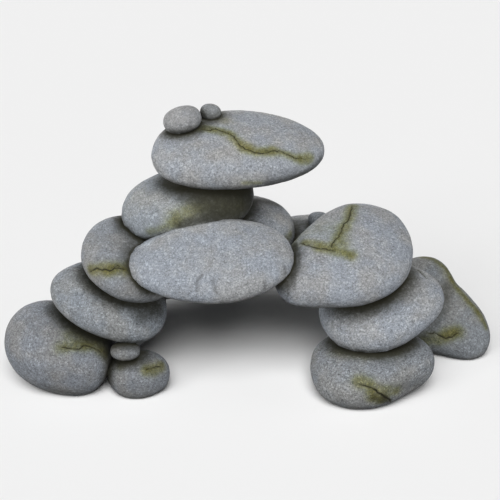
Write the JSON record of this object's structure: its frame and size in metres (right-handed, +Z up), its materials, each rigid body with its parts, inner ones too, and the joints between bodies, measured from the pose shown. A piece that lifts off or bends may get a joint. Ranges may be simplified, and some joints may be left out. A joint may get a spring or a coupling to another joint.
{
  "type": "pebble stack",
  "caption": "Low arch of flat, water-worn grey pebbles bedded on one another, with small pebbles on top, mossy hairline cracks and an open passage beneath.",
  "frame": {"origin": "on the ground, under the middle of the stack's bounding box", "axes": "+Z up, +X along the stack towards its taller single column with the leaning stone, -Y towards the finished front"},
  "size_m": [0.2584, 0.1062, 0.1415],
  "materials": {
    "cap_stone": "matt, fine-grained, water-worn",
    "cap_pebble_large": "matt, fine-grained, water-worn",
    "cap_pebble_small": "matt, fine-grained, water-worn",
    "neck_stone": "matt, fine-grained, water-worn",
    "front_bridge_stone": "matt, fine-grained, water-worn",
    "rear_bridge_stone": "matt, fine-grained, water-worn",
    "left_shoulder_stone": "matt, fine-grained, water-worn",
    "left_rear_shoulder_stone": "matt, fine-grained, water-worn",
    "right_shoulder_stone": "matt, fine-grained, water-worn",
    "rear_right_stone": "matt, fine-grained, water-worn",
    "rear_pebble": "matt, fine-grained, water-worn",
    "left_step_stone": "matt, fine-grained, water-worn",
    "right_step_stone": "matt, fine-grained, water-worn",
    "right_rear_step_stone": "matt, fine-grained, water-worn",
    "left_wedge_pebble": "matt, fine-grained, water-worn",
    "left_toe_stone": "matt, fine-grained, water-worn",
    "left_foot_stone": "matt, fine-grained, water-worn",
    "left_rear_foot_stone": "matt, fine-grained, water-worn",
    "right_foot_stone": "matt, fine-grained, water-worn",
    "right_rear_foot_stone": "matt, fine-grained, water-worn",
    "inner_rear_foot_stone": "matt, fine-grained, water-worn"
  },
  "bodies": {
    "root": {"cap_stone": "cap_stone", "cap_pebble_large": "cap_pebble_large", "cap_pebble_small": "cap_pebble_small", "neck_stone": "neck_stone", "front_bridge_stone": "front_bridge_stone", "rear_bridge_stone": "rear_bridge_stone", "left_shoulder_stone": "left_shoulder_stone", "left_rear_shoulder_stone": "left_rear_shoulder_stone", "right_shoulder_stone": "right_shoulder_stone", "rear_right_stone": "rear_right_stone", "rear_pebble": "rear_pebble", "left_step_stone": "left_step_stone", "right_step_stone": "right_step_stone", "right_rear_step_stone": "right_rear_step_stone", "left_wedge_pebble": "left_wedge_pebble", "left_toe_stone": "left_toe_stone", "left_foot_stone": "left_foot_stone", "left_rear_foot_stone": "left_rear_foot_stone", "right_foot_stone": "right_foot_stone", "right_rear_foot_stone": "right_rear_foot_stone", "inner_rear_foot_stone": "inner_rear_foot_stone"}
  },
  "joints": []
}
